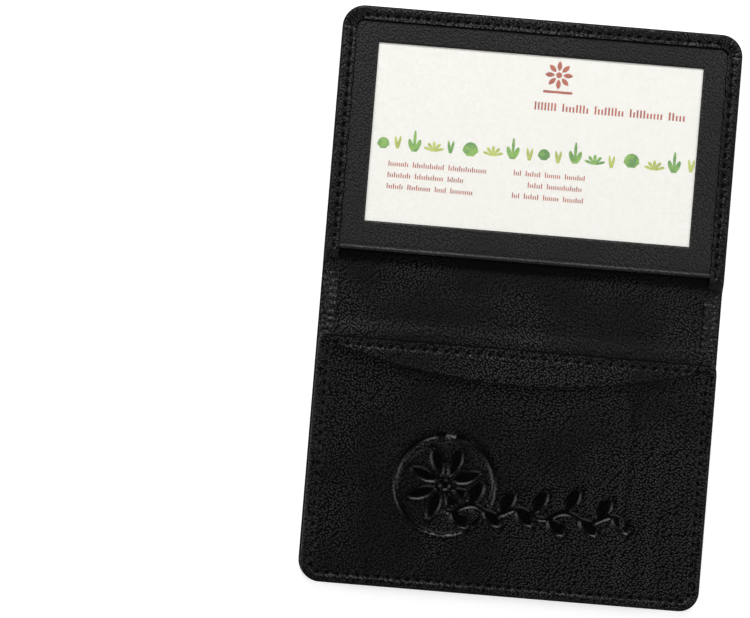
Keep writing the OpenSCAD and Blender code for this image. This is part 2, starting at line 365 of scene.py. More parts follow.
# ---------------------------------------------------------------- materials
class Finish:
    """A node material, with a short way to add nodes. Inputs are values or other nodes' sockets."""

    def __init__(self, name, base, roughness, **constants):
        self.material = bpy.data.materials.new(name)
        self.material.use_nodes = True
        self.tree = self.material.node_tree
        self.shader = self.tree.nodes["Principled BSDF"]
        self.shader.inputs["Base Color"].default_value = (*base, 1)
        self.shader.inputs["Roughness"].default_value = roughness
        for key, value in constants.items():
            self.shader.inputs[key.replace("_", " ")].default_value = value

    def add(self, kind, inputs, **settings):
        node = self.tree.nodes.new("ShaderNode" + kind)
        for key, value in settings.items():
            setattr(node, key, value)
        for key, value in inputs.items():
            if isinstance(value, bpy.types.NodeSocket):
                self.tree.links.new(value, node.inputs[key])
            else:
                node.inputs[key].default_value = value
        return node

    def math(self, operation, a, b=0.0):
        return self.add("Math", {0: a, 1: b}, operation=operation).outputs[0]

    def place(self, from_attribute=True):
        """Each point's place at rest, in millimetres."""
        if from_attribute:
            return self.add("Attribute", {}, attribute_name="rest").outputs["Vector"]
        where = self.add("TexCoord", {}).outputs["Object"]
        return self.add("VectorMath", {0: where, "Scale": 1 / MM}, operation="SCALE").outputs[0]

    def noise(self, place, size, detail=3.0, roughness=0.5):
        inputs = {"Vector": place, "Scale": 1 / size, "Detail": detail, "Roughness": roughness}
        return self.add("TexNoise", inputs).outputs["Fac"]

    def spread(self, value, low, high, to_low, to_high):
        inputs = {"Value": value, "From Min": low, "From Max": high, "To Min": to_low, "To Max": to_high}
        return self.add("MapRange", inputs, interpolation_type="SMOOTHSTEP").outputs[0]

    def mix(self, share, a, b):
        node = self.add("Mix", {0: share, 6: (*a, 1), 7: (*b, 1)}, data_type="RGBA")
        return node.outputs[2]

    def use(self, colour=None, roughness=None, height=None, depth=0.05):
        """Links what varies over the surface. depth is the height's relief in millimetres."""
        if colour is not None:
            self.tree.links.new(colour, self.shader.inputs["Base Color"])
        if roughness is not None:
            self.tree.links.new(roughness, self.shader.inputs["Roughness"])
        if height is not None:
            bump = self.add("Bump", {"Height": height, "Distance": depth * MM, "Strength": 1.0})
            self.tree.links.new(bump.outputs["Normal"], self.shader.inputs["Normal"])
        return self.material


def leather(name, low, high, rough, grain=0.56, slope=0.3, level=0.2, satin_and_painted_sheen_below=None):
    """Black grained leather: small pebbles drawn out along a diagonal, a finer tooth and patches of wear.
    The pebbles are flat cells on a leaning plane, so that upright edges show them too.

    low and high are the tones between and on the pebbles: the lighter tops and darker gaps are painted
    glints and shade. grain is their size in millimetres, and slope how steep their sides are. It is smoother
    and darker where its pressed mark is high, which is tooling in some places and painted shade in others;
    and below the height given for its outer finish it is flatter and more even, with its colour lifted as a
    painted sheen."""
    f = Finish(name, (high, high, high), rough, IOR=1.45, Specular_IOR_Level=level)
    place = f.place()
    leaning = {"Vector": place, "Rotation": (0, math.radians(52), math.radians(-38))}
    turned = f.add("Mapping", leaning, vector_type="TEXTURE").outputs[0]
    cells = {"Vector": turned, "Scale": 1 / grain, "Randomness": 0.85}
    pebble = f.add("TexVoronoi", cells, voronoi_dimensions="2D").outputs["Distance"]
    tooth = f.noise(place, grain * 0.4, 2.0)
    pressed_and_shade = f.add("Attribute", {}, attribute_name="pressed_and_shade").outputs["Fac"]
    height = f.math("ADD", f.math("MULTIPLY", pebble, -1.0), f.math("MULTIPLY", tooth, 0.3))
    height = f.math("MULTIPLY", height, f.spread(pressed_and_shade, 0.0, 1.0, 1.0, 0.12))
    worn = f.spread(f.noise(place, 24.0, 2.0), 0.32, 0.68, 0.0, 1.0)
    # Painted glints and shade: the pebbles' tops are lighter and the gaps between them darker, standing in
    # for specks of light on the grain.
    shade = f.math("MULTIPLY", f.spread(pebble, 0.05, 0.4, 1.0, 0.0), f.spread(worn, 0, 1, 0.38, 1.25))
    # Darker where the pressed mark is high: tooled grain, and painted shade on the lining and below the slip
    # pocket's mouth.
    shade = f.math("MULTIPLY", shade, f.spread(pressed_and_shade, 0.0, 1.0, 1.0, 0.15))
    if satin_and_painted_sheen_below is not None:
        up = f.add("SeparateXYZ", {0: place}).outputs["Z"]
        satin_and_painted_sheen = f.spread(up, satin_and_painted_sheen_below - 0.3, satin_and_painted_sheen_below + 0.3, 1.0, 0.0)
        height = f.math("MULTIPLY", height, f.spread(satin_and_painted_sheen, 0.0, 1.0, 1.0, 0.5))
        shade = f.math("MULTIPLY", shade, f.spread(satin_and_painted_sheen, 0.0, 1.0, 1.0, 0.45))
        # Painted sheen: below that height the colour is lifted, as if the outer face caught more light.
        shade = f.math("ADD", shade, f.math("MULTIPLY", satin_and_painted_sheen, 0.4))
    colour = f.mix(shade, (low, low, low * 0.96), (high, high, high * 0.97))
    polish = f.math("ADD", f.math("MULTIPLY", worn, -0.03), f.math("MULTIPLY", tooth, 0.1))
    return f.use(colour, f.math("ADD", polish, rough - 0.035), height, slope * grain)


def dye_and_shade_black(name):
    """Painted shade, near black: the inside of stitch holes, creases, rims and gaps, where hardly any light
    comes back; on the cut edges it is black dye as well.
    """
    f = Finish(name, (0.0006, 0.0006, 0.0006), 0.6, Specular_IOR_Level=0.04)
    fibre = f.noise(f.place(), 0.2, 3.0)
    return f.use(f.mix(fibre, (0.0002, 0.0002, 0.0002), (0.0012, 0.0012, 0.0012)), None, fibre, 0.02)


def woven(name, tone, pitch=0.32):
    """Plain-weave pocket fabric: two sets of yarns that pass over and under."""
    f = Finish(name, (tone, tone, tone), 0.8, Sheen_Weight=0.25, Sheen_Roughness=0.5)
    place = f.place()
    yarns = {"Vector": place, "Scale": 1 / pitch / 6.3, "Distortion": 0.6}
    across = f.add("TexWave", yarns, bands_direction="X")
    down = f.add("TexWave", yarns, bands_direction="Y")
    checks = f.add("TexChecker", {"Vector": place, "Scale": 1 / pitch}).outputs["Fac"]
    weave = f.add("Mix", {0: checks, 2: across.outputs["Fac"], 3: down.outputs["Fac"]}).outputs[0]
    colour = f.mix(weave, (tone * 0.4, tone * 0.4, tone * 0.42), (tone * 1.5, tone * 1.5, tone * 1.55))
    return f.use(colour, None, weave, 0.06)


def fibrous(name, dark, light, size, depth, rough=0.85, from_attribute=True):
    """Board or foam: mottled and matt."""
    f = Finish(name, light, rough)
    place = f.place(from_attribute)
    mottle = f.noise(place, size, 5.0, 0.6)
    colour = f.mix(f.spread(mottle, 0.35, 0.65, 0, 1), dark, light)
    return f.use(colour, f.spread(mottle, 0.3, 0.7, rough - 0.06, rough + 0.05), mottle, depth)


def card_stock(name):
    """Off-white uncoated card with faint felt marks and scattered darker flecks."""
    f = Finish(name, (0.9, 0.88, 0.83), 0.62)
    place = f.place()
    felt = f.noise(place, 0.9, 4.0, 0.6)
    flecks = f.add("TexVoronoi", {"Vector": place, "Scale": 0.45}).outputs["Distance"]
    mark = f.spread(flecks, 0.05, 0.13, 1.0, 0.0)
    clear = f.spread(felt, 0.35, 0.65, 0.0, 0.5)
    share = f.math("MINIMUM", f.math("ADD", f.math("MULTIPLY", mark, 0.45), clear), 1.0)
    colour = f.mix(share, (0.93, 0.915, 0.865), (0.84, 0.82, 0.75))
    return f.use(colour, None, felt, 0.012)


def ink(name, dark, light):
    """Printed ink, a little uneven in tone."""
    f = Finish(name, light, 0.5)
    tone = f.noise(f.place(), 2.2, 4.0, 0.6)
    colour = f.mix(f.spread(tone, 0.35, 0.65, 0, 1), dark, light)
    return f.use(colour, f.spread(tone, 0.3, 0.7, 0.42, 0.6), tone, 0.004)


def spun(name, tone):
    """Sewing thread: fine twisted strands."""
    f = Finish(name, (tone, tone, tone), 0.6, Specular_IOR_Level=0.2)
    place = f.place()
    wave = {"Vector": place, "Scale": 1.2, "Distortion": 1.5, "Detail": 2.0}
    strands = f.add("TexWave", wave, bands_direction="DIAGONAL").outputs["Fac"]
    colour = f.mix(strands, (tone * 0.5,) * 3, (tone * 1.5,) * 3)
    return f.use(colour, f.spread(strands, 0, 1, 0.55, 0.7), strands, 0.05)


def clear_film(name):
    """Clear vinyl: nearly all light goes through, and its faint ripples catch the light."""
    f = Finish(name, (0.96, 0.97, 0.97), 0.08, IOR=1.45, Alpha=0.07)
    ripple = f.noise(f.place(), 9.0, 2.0)
    return f.use(None, f.spread(ripple, 0.3, 0.7, 0.06, 0.14), ripple, 0.03)


cover_leather = leather("cover_leather", 0.0008, 0.0320, 0.28, level=0.25, satin_and_painted_sheen_below=1.2)
lining_leather = leather("lining_leather", 0.0006, 0.0360, 0.28, slope=0.26)
panel_leather = leather("panel_leather", 0.0045, 0.0300, 0.42, slope=0.18, level=0.4)
wall_leather = leather("wall_leather", 0.0008, 0.0380, 0.27, slope=0.27)
pocket_leather = leather("pocket_leather", 0.0004, 0.0250, 0.25, slope=0.27)
gusset_leather = leather("gusset_leather", 0.0060, 0.0260, 0.36, slope=0.12, level=0.35)
black_edge_and_shade = dye_and_shade_black("black_edge_and_shade")
pocket_fabric = woven("pocket_fabric", 0.010)
board = fibrous("board", (0.16, 0.14, 0.12), (0.30, 0.27, 0.23), 0.6, 0.03, from_attribute=False)
foam = fibrous("foam", (0.05, 0.05, 0.05), (0.11, 0.11, 0.11), 0.35, 0.1)
thread = spun("thread", 0.004)
film_plastic = clear_film("film_plastic")
stock = card_stock("card_stock")
brown_ink = ink("brown_ink", (0.34, 0.030, 0.001), (0.50, 0.070, 0.004))
green_ink = ink("green_ink", (0.05, 0.25, 0.005), (0.22, 0.47, 0.02))
olive_ink = ink("olive_ink", (0.36, 0.44, 0.02), (0.56, 0.62, 0.10))


# ---------------------------------------------------------------- ornament pressed into the leather
def carve(distance, depth, soft=0.3, pull=1.7):
    """Relief of a shape stamped in: full depth inside its outline, and a soft shoulder round it."""
    return depth * (0.74 * (1 - ramp(distance, -soft, soft)) + 0.26 * (1 - ramp(distance, -soft, pull)))


def smoothed_by(distance):
    """How far a hot tool has smoothed and darkened the grain: fully on a shape, and a little round it."""
    return np.maximum(1 - ramp(distance, 0.15, 0.55), 0.5 * (1 - ramp(distance, 0.2, 2.2)))


def ring_line(x, y, centre, radius, width):
    return abs(np.hypot(x - centre[0], y - centre[1]) - radius) - width / 2


def leaf(x, y, base, turn, length, width):
    """Distance to a pointed leaf that grows from base."""
    c, s = math.cos(turn), math.sin(turn)
    u, v = (x - base[0]) * c + (y - base[1]) * s, -(x - base[0]) * s + (y - base[1]) * c
    half = length / 2
    bow = (half * half - width * width / 4) / width
    return np.hypot(u - half, abs(v) + bow) - bow - width / 2


POCKET_RING = (-16.6, -6.3)
GARLAND_Y = -12.2


def pocket_shapes(x, y):
    """Distances to the stamped ring with its rosette, and to the leafy garland that runs right from it."""
    stem_y = GARLAND_Y + 1.1 * np.sin((x + 12) * 0.5)
    garland = np.maximum(abs(y - stem_y) - 0.55, np.maximum(-16 - x, x - 31))
    for k in range(11):
        base_x = -14.5 + 4.3 * k
        base = (base_x, GARLAND_Y + 1.1 * math.sin((base_x + 12) * 0.5))
        turn, length = (58, 7.6) if k % 2 else (-40, 6.4)
        garland = np.minimum(garland, leaf(x, y, base, math.radians(turn), length, 3.1))
    ring = ring_line(x, y, POCKET_RING, 13.2, 0.7)
    rosette = ring_line(x, y, POCKET_RING, 0, 2.6)
    for k in range(8):
        turn = math.pi / 4 * k + math.pi / 8
        base = (POCKET_RING[0] + 2.4 * math.cos(turn), POCKET_RING[1] + 2.4 * math.sin(turn))
        rosette = np.minimum(rosette, leaf(x, y, base, turn, 8.0, 2.9))
    return np.minimum(ring, rosette), garland


def pocket_ornament(x, y):
    ring, garland = pocket_shapes(x, y)
    inside = ring_line(x, y, POCKET_RING, 0, 26.0)
    bulge = 0.16 * ramp(-inside, 0.2, 3.0) * ramp(garland, 0.4, 1.6)
    return np.maximum(carve(ring, 0.5) * ramp(garland, 0.4, 1.2), carve(garland, 0.5)) - bulge


def pocket_pressed_and_shade(x, y, z):
    """The tooled ornament, and painted shade: darker, smoother grain in a band below the slip pocket's
    mouth.
    """
    ring, garland = pocket_shapes(x, y)
    # Painted shade below the slip pocket's mouth.
    painted_shade_under_mouth = 0.35 * (1 - ramp(SLIP_HIGH[1] - slip_line(x) - y, 0.6, 6))
    tooled = np.maximum(smoothed_by(ring) * ramp(garland, 0.4, 1.2), smoothed_by(garland))
    return np.maximum(tooled, painted_shade_under_mouth)


FLAP_MARK = (0.0, FLAP_FOLD + 36.0)
MARK_REACH = 23.4       # from its middle to just outside its square frame


def flap_shapes(x, y):
    """Distance to a stamped square frame round a star of leaves."""
    u, v = x - FLAP_MARK[0], y - FLAP_MARK[1]
    square = np.maximum(abs(u), abs(v))
    frame_line = np.minimum(abs(square - 22.3) - 0.55, abs(square - 20.4) - 0.25)
    star = ring_line(x, y, FLAP_MARK, 17.6, 0.6)
    for k in range(12):
        turn = math.pi / 6 * k
        base = (FLAP_MARK[0] + 3.4 * math.cos(turn), FLAP_MARK[1] + 3.4 * math.sin(turn))
        star = np.minimum(star, leaf(x, y, base, turn, 12.6 if k % 2 else 9.0, 3.0))
    star = np.minimum(star, ring_line(x, y, FLAP_MARK, 0, 4.0))
    return np.minimum(frame_line, star)


def flap_pressed(x, y, z):
    return smoothed_by(flap_shapes(x, y)) * (y > FLAP_FOLD) * (z < 1.5)


# ---------------------------------------------------------------- stitching
def u_row(half_w, height, radius, inset, start, pitch):
    """Evenly spaced points (x, v) and directions down one side of a half, round its free edge and up."""
    side, arc = height - radius - start, (radius - inset) * math.pi / 2
    across = 2 * (half_w - radius)
    total = 2 * side + 2 * arc + across
    count = round(total / pitch)
    made = []
    for k in range(count + 1):
        s = total * k / count
        mirrored = s > total / 2
        s = total - s if mirrored else s
        if s < side:
            x, v, dx, dv = -(half_w - inset), start + s, 0, 1
        elif s < side + arc:
            a = (s - side) / (radius - inset)
            x = -(half_w - radius) - (radius - inset) * math.cos(a)
            v = height - radius + (radius - inset) * math.sin(a)
            dx, dv = math.sin(a), math.cos(a)
        else:
            x, v, dx, dv = -(half_w - radius) + s - side - arc, height - inset, 1, 0
        made.append((-x, v, dx, -dv) if mirrored else (x, v, dx, dv))
    return np.array(made)


def on_back(row):
    return row * [1, -1, 1, -1] + [0, BACK_FOLD, 0, 0]


def on_flap(row):
    return row + [0, FLAP_FOLD, 0, 0]


def pits(x, y, row, depth, width=0.5):
    """Relief of the holes that a stitch row pulls into the leather."""
    relief = np.zeros(len(x))
    near = np.nonzero((x > row[:, 0].min() - 1) & (x < row[:, 0].max() + 1)
                      & (y > row[:, 1].min() - 1) & (y < row[:, 1].max() + 1))[0]
    for px, py, dx, dy in row:
        u, v = x[near] - px, y[near] - py
        lengthwise, sideways = (u * dx + v * dy) / width, (u * dy - v * dx) / (width * 0.8)
        relief[near] += depth * np.exp(-lengthwise ** 2 - sideways ** 2)
    return relief


def holes(*rows):
    """Where the holes of stitch rows get painted shade, from 0 to 1."""
    return lambda x, y, z=0: ramp(sum(pits(x, y, row, 1.0) for row in rows), 0.05, 0.3)


def stitches(name, row, level, side, body, slant=0.2, gap=0.62, sides=6):
    """Threads between neighbouring holes of a row, which lies in a groove at level. side is 1 where they
    show from above and -1 from below."""
    points, faces = [], []
    for (x0, y0, dx0, dy0), (x1, y1, dx1, dy1) in zip(row, row[1:]):
        a = np.array([x0 + dx0 * gap - dy0 * slant, y0 + dy0 * gap + dx0 * slant])
        b = np.array([x1 - dx1 * gap + dy1 * slant, y1 - dy1 * gap - dx1 * slant])
        along_it = (b - a) / np.hypot(*(b - a))
        normal = np.array([-along_it[1], along_it[0], 0])
        shares = np.linspace(0, 1, 7)
        centre = a + (b - a) * shares[:, None]
        arch = np.sin(shares * math.pi) ** 0.45
        z = level + side * (-THREAD_DIP + (THREAD_DIP + 0.08) * arch)
        first = len(points)
        for k, share in enumerate(shares):
            radius = THREAD_R * (0.62 + 0.38 * arch[k])
            for m in range(sides):
                turn = 2 * math.pi * m / sides
                offset = normal * math.cos(turn) + np.array([0, 0, 1]) * math.sin(turn)
                points.append(np.array([*centre[k], z[k]]) + offset * radius)
        for k in range(len(shares) - 1):
            for m in range(sides):
                p, q = first + k * sides + m, first + k * sides + (m + 1) % sides
                faces.append((p, p + sides, q + sides, q))
        faces.append(tuple(first + m for m in range(sides)))
        faces.append(tuple(first + (len(shares) - 1) * sides + m for m in reversed(range(sides))))
    obj = mesh_piece(name, np.array(points), faces, thread, "thread", smooth=75)
    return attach(obj, body)


COVER_ROW_START = 6.0   # the first hole of the cover's rows, from the fold
back_row = on_back(u_row(HALF_W, BACK_H, CORNER, STITCH_INSET, COVER_ROW_START, STITCH_PITCH))
flap_row = on_flap(u_row(HALF_W, FLAP_H, CORNER, STITCH_INSET, COVER_ROW_START, STITCH_PITCH))
POCKET_EDGE = HALF_W - POCKET_HIGH[0]
MOUTH_STITCH = 2.2      # the mouth's stitch row from its edge
pocket_row = on_back(u_row(HALF_W, BACK_H, CORNER, STITCH_INSET + POCKET_EDGE,
                           BACK_FOLD - POCKET_HIGH[1] + MOUTH_STITCH, STITCH_PITCH))
mouth_x = np.linspace(-48.5, 48.5, 34)
mouth_row = np.array([(x, POCKET_HIGH[1] - MOUTH_STITCH, 1, 0) for x in mouth_x])


# insets of the rows of points that carry a seam's groove and its holes
SEAM_ROWS = (4.0, 3.6, 3.3, 3.05, 2.83, 2.6, 2.37, 2.15, 1.9)


# ---------------------------------------------------------------- the cover
def cover_inset(x, y):
    return inset_from(x, y, COVER_LOW, COVER_HIGH, CORNER)


def outer_face(x, y):
    """Height of the cover's outer face: padded and crowned on the flap, nearly flat on the back."""
    d = cover_inset(x, y)
    edge = along(y, BACK_FALL, 0.12, CROWN)
    fall = edge * (1 - ramp(d, 2.4, along(y, 9, 6, 15)) ** 0.8)
    channel = along(y, BACK_CHANNEL, 0.3, CHANNEL) * bell(d, STITCH_INSET, along(y, 0.5, 0.35, 0.5))
    stitched = pits(x, y, back_row, 0.34) + pits(x, y, flap_row, 0.4)
    mark = carve(flap_shapes(x, y), 0.45)
    bottom = 0.1 * bell(y, BACK_FOLD, 2.5) + 0.06 * (1 + waves(x, y, 26, 1)) * ramp(d, 3, 10)
    return fall + channel + stitched + mark + bottom


def hem_face(x, y):
    """Height of the turned hem's face: stitched and pleated on the flap, and gathered at the spine."""
    d = cover_inset(x, y)
    top = along(y, BACK_HEM_Z - 0.05, SPINE_HEM_Z, FLAP_HEM_Z)
    channel = HEM_CHANNEL * bell(d, STITCH_INSET, 0.55) * ramp(y, FLAP_FOLD + 3, FLAP_FOLD + 6)
    stitched = pits(x, y, flap_row, 0.24)
    swell = 0.06 * waves(x, y, 7, 4)
    return top + swell - channel - stitched - PLEAT_DEPTH * pleats(x, y, d) + gathers(x, y, d)


PLEATS = 6              # at each of the flap's free corners
PLEAT_DEPTH = 0.42


def pleats(x, y, d):
    """How far the hem is folded in round the flap's two free corners: 1 in the crease of a pleat."""
    cx, cy = HALF_W - CORNER, COVER_HIGH[1] - CORNER
    turn = np.arctan2(y - cy, abs(x) - cx)
    share = np.clip(turn / (math.pi / 2), 0, 1)
    inside = ramp(turn, -0.06, 0.05) * (1 - ramp(turn, math.pi / 2 - 0.05, math.pi / 2 + 0.06))
    wobble = share + 0.018 * np.sin(9 * share + 3 * np.sign(x)) + 0.02 * (d - 2)
    fold = abs(np.sin(math.pi * PLEATS * wobble)) ** 0.9
    return (1 - fold) * ramp(d, 0.3, 1.4) * inside * (y > FLAP_FOLD)


def gathers(x, y, d):
    """Short puckers across the hem beside the spine, either side of a lengthwise crease."""
    here = ramp(y, BACK_FOLD - 5, BACK_FOLD - 1) * (1 - ramp(y, FLAP_FOLD + 1, FLAP_FOLD + 6))
    slip = np.sign(x) * 0.8 + 0.5 * np.sin(y * 0.9) + 0.35 * (d - 2.3)
    ribs = np.where(d > 2.3, np.sin(y * 3.1 + slip), np.sin(y * 4.3 + 2 * slip + 1))
    crease = 0.2 * bell(d, 2.3, 0.3)
    return here * (0.10 * ribs * ramp(d, 0.6, 1.4) - crease)


def hem_width(y):
    wander = 0.09 * np.sin(y * 0.83) + 0.06 * np.sin(y * 2.1 + 1)
    return along(y, HEM_W, SPINE_HEM_W, HEM_W + 0.15) + wander


def cover_pressed(x, y, z):
    """The flap's mark, and the hem's corners, where the pleated leather is drawn tight."""
    from_corner = HALF_W - abs(x) + COVER_HIGH[1] - y
    tight = 0.35 * (1 - ramp(from_corner, 7, 10)) * (z > 1.5)
    return np.maximum(flap_pressed(x, y, z), tight)


def cover_dark(x, y, z):
    """Painted shade, near black: in the stitch holes, in the pleats' creases, and along the rim of the hem's
    face where it turns away from the light; and the hem's cut edge, dyed black and shaded.
    """
    d = cover_inset(x, y)
    inner = z > 1.3
    painted_rim_shade = inner * (1 - ramp(d, 0.3, 0.5)) * (z > hem_face(x, y) - 0.7)
    cut_edge = inner * ramp(d, hem_width(y) - 0.3, hem_width(y) - 0.15)
    crease = inner * ramp(pleats(x, y, d), 0.7, 0.86)
    return np.maximum.reduce([painted_rim_shade, cut_edge, crease, holes(back_row, flap_row)(x, y)])


def make_cover():
    inner = flat_at(1.05)
    marked_x, marked_y = ((middle - MARK_REACH, middle + MARK_REACH, 0.45) for middle in FLAP_MARK)
    over_folds = (CUTS[0], CUTS[-1], 0.65)

    def column(x, y):
        corner = abs(x) > HALF_W - CORNER and y > COVER_HIGH[1] - CORNER
        return 0.13 if corner else 0.33

    sheet = Sheet(COVER_LOW, COVER_HIGH, CORNER, 4.5, (1.6, 1.6), column,
                  [marked_x], [marked_y, over_folds], CUTS)
    rows = [(d, outer_face) for d in (*SEAM_ROWS, 1.5, 1.1, 0.8)]
    rows += rim(0.7, outer_face, hem_face)
    rows += [(d, hem_face) for d in (0.75, 1.1, 1.5, *SEAM_ROWS[:1:-1])]
    rows += [(lambda y, s=s: hem_width(y) - s, hem_face) for s in (0.35, 0.12)]
    rows += [(hem_width, lambda x, y: hem_face(x, y) - 0.13),
             (lambda y: hem_width(y) + 0.04, lambda x, y: hem_face(x, y) - 0.45),
             (lambda y: hem_width(y) + 0.04, inner)]
    points, faces = sheet.build(outer_face, rows)
    points[:, 2] = np.maximum(points[:, 2], 0)
    marks = {"pressed_and_shade": cover_pressed, "dark": cover_dark}
    return fold_pieces("cover", points, flip(faces), cover_leather, "cover_leather", **marks)


def replace_along(pieces, back, spine, flap):
    """The back half, the stretches over the first three folds and the flap each replace a CAD node."""
    nodes = [back, *[f"{spine}_{k}" for k in (1, 2, 3)], flap]
    for piece, node in zip([*pieces[:4], pieces[5]], nodes):
        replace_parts(piece, node)


replace_along(make_cover(), "cover_leather_back", "cover_leather_spine", "cover_leather_flap")
stitches("flap_outer_stitching", flap_row, CROWN + CHANNEL, -1, "flap")
inner_thread = stitches("flap_inner_stitching", flap_row, FLAP_HEM_Z - HEM_CHANNEL, 1, "flap", slant=0.3)
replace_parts(inner_thread, "flap_stitching")
back_thread = stitches("back_stitching_rows", back_row, BACK_FALL + BACK_CHANNEL, -1, "back")
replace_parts(back_thread, "back_stitching")


# ---------------------------------------------------------------- the lining
def lining_face(x, y):
    """Height of the lining: over the back board, down to the folds' axes and up onto the flap's board."""
    back, spine, flap = span("back_lining")[1][2], joint_places["cover_fold"][2], span("flap_lining")[1][2]
    to_spine = ramp(y, BACK_FOLD - 3.8, BACK_FOLD + 1.5)
    to_flap = ramp(y, FLAP_FOLD - 3.5, FLAP_FOLD + 3.9)
    level = back + (spine - back) * to_spine + (flap - spine) * to_flap
    over_fold = ramp(y, BACK_FOLD - 5, BACK_FOLD) * (1 - ramp(y, FLAP_FOLD, FLAP_FOLD + 5))
    return level + over_fold * (0.13 * waves(x, y, 26, 2) + 0.03 * waves(x, y, 8, 7))


def lining_painted_shadow(x, y, z):
    """Painted shadow: the lining is smoothed and darkened in a band below the window panel's lower edge,
    which shades it.
    """
    return 0.9 * ramp(y, PANEL_LOW[1] - 5.5, PANEL_LOW[1] - 0.8)


def make_lining():
    low, high = (-51.6, -33.2), (51.6, 118.0)
    fine_y = [(26, FLAP_FOLD + 7, 0.8)]
    sheet = Sheet(low, high, 3.0, 1.0, (2.0, 4.0), lambda x, y: 2.0, fine_y=fine_y, places=CUTS)
    points, faces = sheet.build(lining_face, [(0.0, lining_face)])
    # The lining's painted shadow under the window panel goes in as its pressed mark.
    marks = {"thickness": 0.35, "pressed_and_shade": lining_painted_shadow}
    return fold_pieces("lining", points, faces, lining_leather, "lining_leather", **marks)


replace_along(make_lining(), "back_lining", "spine_lining", "flap_lining")


# ---------------------------------------------------------------- the pocket
POCKET_CORNER = CORNER - POCKET_EDGE
POCKET_BAND = 4.4


def pocket_inset(x, y):
    """Distance inwards from the pocket's sides and bottom. Its mouth doesn't count as an edge."""
    return inset_from(x, y, POCKET_LOW, (POCKET_HIGH[0], POCKET_HIGH[1] + 20), POCKET_CORNER)


def wall_face(x, y):
    """The pocket wall's face: a turned and stitched mouth above the slip pocket."""
    top = POCKET_HIGH[2]
    down = POCKET_HIGH[1] - y
    channel = 0.13 * bell(down, MOUTH_STITCH, 0.45) * (abs(x) < 50)
    turned = 0.08 * (1 - ramp(down, 4.0, 5.2))
    shoulder = 0.1 * (1 - ramp(np.minimum(down, pocket_inset(x, y)), 0, 0.3))
    return top + turned - shoulder - channel - pits(x, y, mouth_row, 0.3) + 0.03 * waves(x, y, 9, 3)


def make_pocket_wall():
    top = POCKET_HIGH[1] - POCKET_CORNER
    column = lambda x, y: 0.3 if y > top else 1.4
    under = flat_at(POCKET_LOW[2])
    sheet = Sheet(POCKET_LOW, POCKET_HIGH, POCKET_CORNER, POCKET_BAND, (2.0, 3.0), column,
                  fine_y=[(18, top, 1.2)], power=(2, 2, 7, 7))
    rows = [(d, wall_face) for d in (4.0, 3.5, 3.1, 2.75, 2.45, 2.2, 1.95, 1.65, 1.3, 0.9, 0.5, 0.2)]
    rows += rim(0.16, wall_face, under, 4) + [(0.3, under), (5.0, under)]
    points, faces = sheet.build(wall_face, rows)
    # Painted shadow: a near-black line along the mouth's edge, and painted shade in its stitch holes.
    edge = lambda y: 1 - ramp(POCKET_HIGH[1] - y, 0.35, 0.65)
    dark = lambda x, y, z: np.maximum(edge(y), holes(mouth_row)(x, y))
    obj = mesh_piece("pocket_front_wall", points, faces, wall_leather, "pocket_leather", dark=dark)
    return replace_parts(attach(obj, "pocket_front"), "pocket_wall")


def slip_line(x):
    """How far the slip pocket's mouth drops below its ends."""
    return SLIP_SAG * (1 - (x / SLIP_HIGH[0]) ** 2)


def slip_warp(x, y):
    """Bows the sheet's straight top edge down to the slip pocket's curve, and leaves its lower half."""
    return y - slip_line(np.clip(x, SLIP_LOW[0], SLIP_HIGH[0])) * ramp(y, -6, SLIP_HIGH[1] - 4.5)


# place in X, width and lean of the slip pocket's upright folds
SLIP_FOLDS = ((31.5, 1.3, 0.05), (36.0, 1.0, -0.04), (40.5, 1.2, 0.02), (-38.0, 1.3, 0.03))


def slip_face(x, y):
    """The slip pocket's face: a stitched bead round the edge, soft creases, and the stamped ornament."""
    top = SLIP_HIGH[2]
    d = pocket_inset(x, y)
    down = SLIP_HIGH[1] - slip_line(x) - y
    channel = (CHANNEL + 0.02) * bell(d, STITCH_INSET, 0.5)
    bead = 0.1 * bell(d, 1.3, 0.8)
    shoulder = 0.22 * (1 - ramp(d, 0, 0.7)) + 0.1 * (1 - ramp(down, 0, 0.22))
    crease = 0.05 * bell(down, 1.5, 0.35) * ramp(d, 1.5, 4)
    drape = ramp(d, 3, 10) * (0.17 * waves(x, y, 30, 5) + 0.04 * waves(x, y, 9, 8))
    folds = 0
    for centre, width, lean in SLIP_FOLDS:
        shape = bell(x + lean * y, centre + 0.5 * np.sin(y * 0.13), width)
        folds = folds + 0.12 * shape * ramp(down, 1, 9) * ramp(d, 3, 9)
    relief = top + bead - shoulder - channel - crease + drape - folds
    return relief - pits(x, y, pocket_row, 0.42) - pocket_ornament(x, y)


def make_slip_panel():
    column = lambda x, y: 1.3 if y > SLIP_HIGH[1] - POCKET_CORNER else 0.3
    under = flat_at(SLIP_LOW[2] + 0.06)
    ornament_x, ornament_y = (-31, 33.5, 0.4), (-20.5, 10, 0.4)
    sheet = Sheet(SLIP_LOW, SLIP_HIGH, POCKET_CORNER, POCKET_BAND, (1.5, 1.5), column,
                  [ornament_x], [ornament_y], power=(2, 2, 9, 9))
    rows = [(d, slip_face) for d in (*SEAM_ROWS, 1.6, 1.3, 1.0, 0.7, 0.4, 0.15)]
    rows += rim(0.14, slip_face, under, 3) + [(0.3, under), (3.0, under)]
    points, faces = sheet.build(slip_face, rows, warp=slip_warp)
    # Painted shadow: a near-black line along the slip pocket's mouth, and painted shade in its stitch holes.
    edge = lambda x, y: 1 - ramp(SLIP_HIGH[1] - slip_line(x) - y, 0.3, 0.6)
    dark = lambda x, y, z: np.maximum(edge(x, y), holes(pocket_row)(x, y))
    marks = {"pressed_and_shade": pocket_pressed_and_shade, "dark": dark}
    obj = mesh_piece("slip_pocket", points, faces, pocket_leather, "pocket_leather", **marks)
    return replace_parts(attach(obj, "pocket_front"), "slip_pocket_panel")


